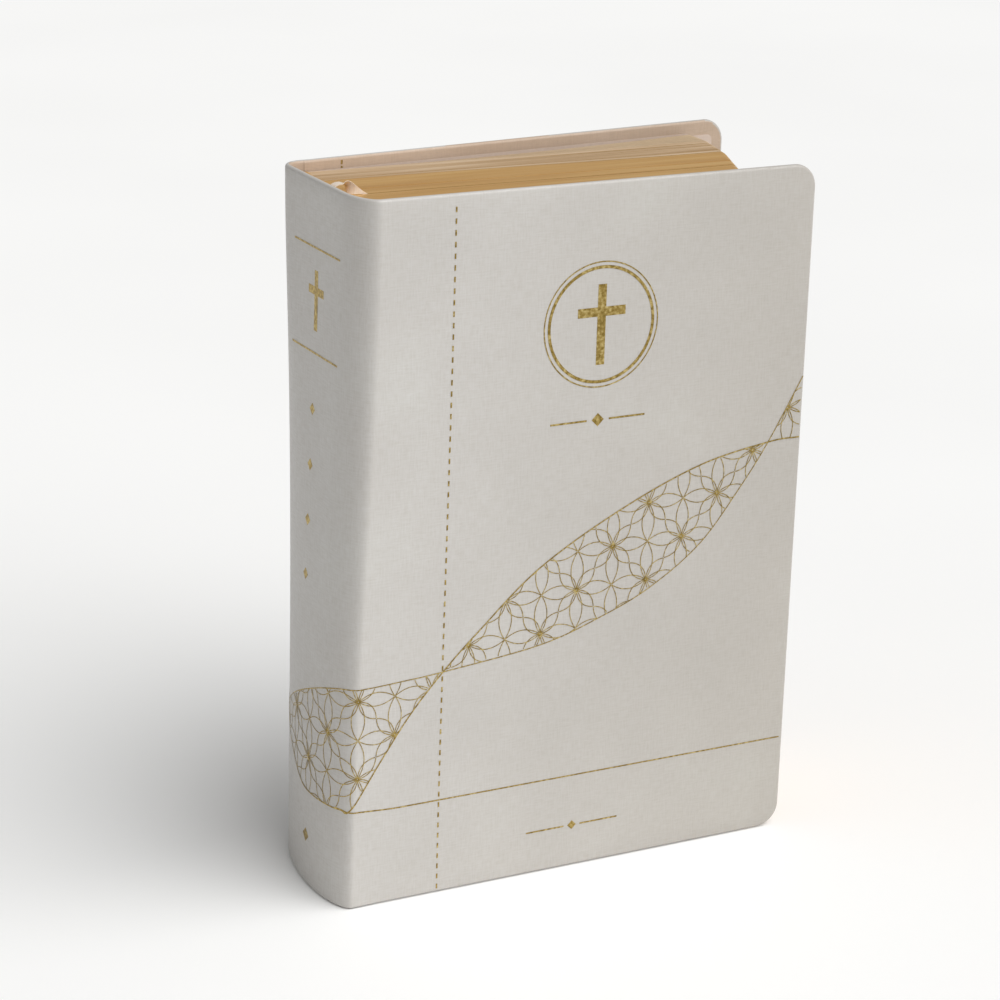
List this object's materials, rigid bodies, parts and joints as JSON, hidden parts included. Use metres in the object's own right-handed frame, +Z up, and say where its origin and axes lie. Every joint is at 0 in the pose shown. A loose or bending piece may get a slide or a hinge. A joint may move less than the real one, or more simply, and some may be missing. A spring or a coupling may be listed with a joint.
{
  "type": "study bible",
  "caption": "Thick soft-covered study Bible standing on its tail, with gilt-edged sewn leaves, rounded corners, hinged covers, headbands and a ribbon marker.",
  "frame": {"origin": "middle of the footprint on the surface that the book stands on", "axes": "+Z up the spine from tail to head, +X from the spine to the fore-edge, +Y from the front cover to the back cover"},
  "size_m": [0.1767, 0.077, 0.2301],
  "materials": {
    "pearl_linen_cloth": "pearl-coated soft cover material with a fine linen grain, satin sheen",
    "grey_card": "grey card, matt",
    "cream_endpaper": "smooth uncoated cream paper",
    "gilt_leaves": "thin paper leaves with burnished gilt edges",
    "cotton_tape": "woven cotton tape",
    "open_mull": "open starched gauze",
    "kraft_lining": "brown kraft paper",
    "silk_band": "two-colour woven silk over a cord core",
    "satin_ribbon": "woven satin ribbon with a soft sheen"
  },
  "bodies": {
    "spine_and_block": {"spine_skin": "pearl_linen_cloth", "spine_stiffener": "grey_card", "spine_lining": "kraft_lining", "spine_mull": "open_mull", "sewing_tape_1": "cotton_tape", "sewing_tape_2": "cotton_tape", "sewing_tape_3": "cotton_tape", "sewing_tape_4": "cotton_tape", "sewing_tape_5": "cotton_tape", "headband": "silk_band", "tailband": "silk_band", "ribbon_marker": "satin_ribbon", "gathering_07": "gilt_leaves", "gathering_08": "gilt_leaves", "gathering_09": "gilt_leaves", "gathering_10": "gilt_leaves", "gathering_11": "gilt_leaves", "gathering_12": "gilt_leaves", "gathering_13": "gilt_leaves", "gathering_14": "gilt_leaves", "gathering_15": "gilt_leaves", "gathering_16": "gilt_leaves", "gathering_17": "gilt_leaves", "gathering_18": "gilt_leaves"},
    "front_cover": {"front_cover_skin": "pearl_linen_cloth", "front_cover_board": "grey_card", "front_pastedown": "cream_endpaper"},
    "front_endleaf": {"front_flyleaf": "cream_endpaper"},
    "gathering_01_leaves": {"gathering_01": "gilt_leaves"},
    "gathering_02_leaves": {"gathering_02": "gilt_leaves"},
    "gathering_03_leaves": {"gathering_03": "gilt_leaves"},
    "gathering_04_leaves": {"gathering_04": "gilt_leaves"},
    "gathering_05_leaves": {"gathering_05": "gilt_leaves"},
    "gathering_06_leaves": {"gathering_06": "gilt_leaves"},
    "back_cover": {"back_cover_skin": "pearl_linen_cloth", "back_cover_board": "grey_card", "back_pastedown": "cream_endpaper"},
    "back_endleaf": {"back_flyleaf": "cream_endpaper"},
    "gathering_24_leaves": {"gathering_24": "gilt_leaves"},
    "gathering_23_leaves": {"gathering_23": "gilt_leaves"},
    "gathering_22_leaves": {"gathering_22": "gilt_leaves"},
    "gathering_21_leaves": {"gathering_21": "gilt_leaves"},
    "gathering_20_leaves": {"gathering_20": "gilt_leaves"},
    "gathering_19_leaves": {"gathering_19": "gilt_leaves"}
  },
  "joints": [
    {"name": "front_cover_hinge", "type": "hinge", "parent": "spine_and_block", "child": "front_cover", "pos_m": [-0.07407, -0.03883, 0], "axis": [0, 0, -1], "range_deg": [0, 180]},
    {"name": "front_flyleaf_hinge", "type": "hinge", "parent": "spine_and_block", "child": "front_endleaf", "pos_m": [-0.07407, -0.03883, 0], "axis": [0, 0, -1], "range_deg": [0, 158.41]},
    {"name": "gathering_01_hinge", "type": "hinge", "parent": "spine_and_block", "child": "gathering_01_leaves", "pos_m": [-0.07416, -0.03513, 0], "axis": [0, 0, -1], "range_deg": [0, 68.41]},
    {"name": "gathering_02_hinge", "type": "hinge", "parent": "spine_and_block", "child": "gathering_02_leaves", "pos_m": [-0.07458, -0.03284, 0], "axis": [0, 0, -1], "range_deg": [0, 28.81]},
    {"name": "gathering_03_hinge", "type": "hinge", "parent": "spine_and_block", "child": "gathering_03_leaves", "pos_m": [-0.07496, -0.03055, 0], "axis": [0, 0, -1], "range_deg": [0, 19.81]},
    {"name": "gathering_04_hinge", "type": "hinge", "parent": "spine_and_block", "child": "gathering_04_leaves", "pos_m": [-0.0753, -0.02826, 0], "axis": [0, 0, -1], "range_deg": [0, 14.41]},
    {"name": "gathering_05_hinge", "type": "hinge", "parent": "spine_and_block", "child": "gathering_05_leaves", "pos_m": [-0.07561, -0.02597, 0], "axis": [0, 0, -1], "range_deg": [0, 9.91]},
    {"name": "gathering_06_hinge", "type": "hinge", "parent": "spine_and_block", "child": "gathering_06_leaves", "pos_m": [-0.07587, -0.02368, 0], "axis": [0, 0, -1], "range_deg": [0, 5.41]},
    {"name": "back_cover_hinge", "type": "hinge", "parent": "spine_and_block", "child": "back_cover", "pos_m": [-0.07407, 0.02377, 0], "axis": [0, 0, 1], "range_deg": [-5.3, 174.7]},
    {"name": "back_flyleaf_hinge", "type": "hinge", "parent": "spine_and_block", "child": "back_endleaf", "pos_m": [-0.07407, 0.02377, 0], "axis": [0, 0, 1], "range_deg": [-4.67, 153.75]},
    {"name": "gathering_24_hinge", "type": "hinge", "parent": "spine_and_block", "child": "gathering_24_leaves", "pos_m": [-0.07416, 0.02007, 0], "axis": [0, 0, 1], "range_deg": [-2.02, 66.4]},
    {"name": "gathering_23_hinge", "type": "hinge", "parent": "spine_and_block", "child": "gathering_23_leaves", "pos_m": [-0.07458, 0.01778, 0], "axis": [0, 0, 1], "range_deg": [-0.86, 27.96]},
    {"name": "gathering_22_hinge", "type": "hinge", "parent": "spine_and_block", "child": "gathering_22_leaves", "pos_m": [-0.07496, 0.01549, 0], "axis": [0, 0, 1], "range_deg": [-0.59, 19.23]},
    {"name": "gathering_21_hinge", "type": "hinge", "parent": "spine_and_block", "child": "gathering_21_leaves", "pos_m": [-0.0753, 0.0132, 0], "axis": [0, 0, 1], "range_deg": [-0.43, 13.99]},
    {"name": "gathering_20_hinge", "type": "hinge", "parent": "spine_and_block", "child": "gathering_20_leaves", "pos_m": [-0.07561, 0.01091, 0], "axis": [0, 0, 1], "range_deg": [-0.3, 9.62]},
    {"name": "gathering_19_hinge", "type": "hinge", "parent": "spine_and_block", "child": "gathering_19_leaves", "pos_m": [-0.07587, 0.00862, 0], "axis": [0, 0, 1], "range_deg": [-0.17, 5.25]}
  ],
  "couplings": [
    {"joint": "front_flyleaf_hinge", "follows": "front_cover_hinge", "ratio": 0.88},
    {"joint": "gathering_01_hinge", "follows": "front_cover_hinge", "ratio": 0.38},
    {"joint": "gathering_02_hinge", "follows": "front_cover_hinge", "ratio": 0.16},
    {"joint": "gathering_03_hinge", "follows": "front_cover_hinge", "ratio": 0.11},
    {"joint": "gathering_04_hinge", "follows": "front_cover_hinge", "ratio": 0.08},
    {"joint": "gathering_05_hinge", "follows": "front_cover_hinge", "ratio": 0.055},
    {"joint": "gathering_06_hinge", "follows": "front_cover_hinge", "ratio": 0.03},
    {"joint": "back_flyleaf_hinge", "follows": "back_cover_hinge", "ratio": 0.88},
    {"joint": "gathering_24_hinge", "follows": "back_cover_hinge", "ratio": 0.38},
    {"joint": "gathering_23_hinge", "follows": "back_cover_hinge", "ratio": 0.16},
    {"joint": "gathering_22_hinge", "follows": "back_cover_hinge", "ratio": 0.11},
    {"joint": "gathering_21_hinge", "follows": "back_cover_hinge", "ratio": 0.08},
    {"joint": "gathering_20_hinge", "follows": "back_cover_hinge", "ratio": 0.055},
    {"joint": "gathering_19_hinge", "follows": "back_cover_hinge", "ratio": 0.03}
  ]
}
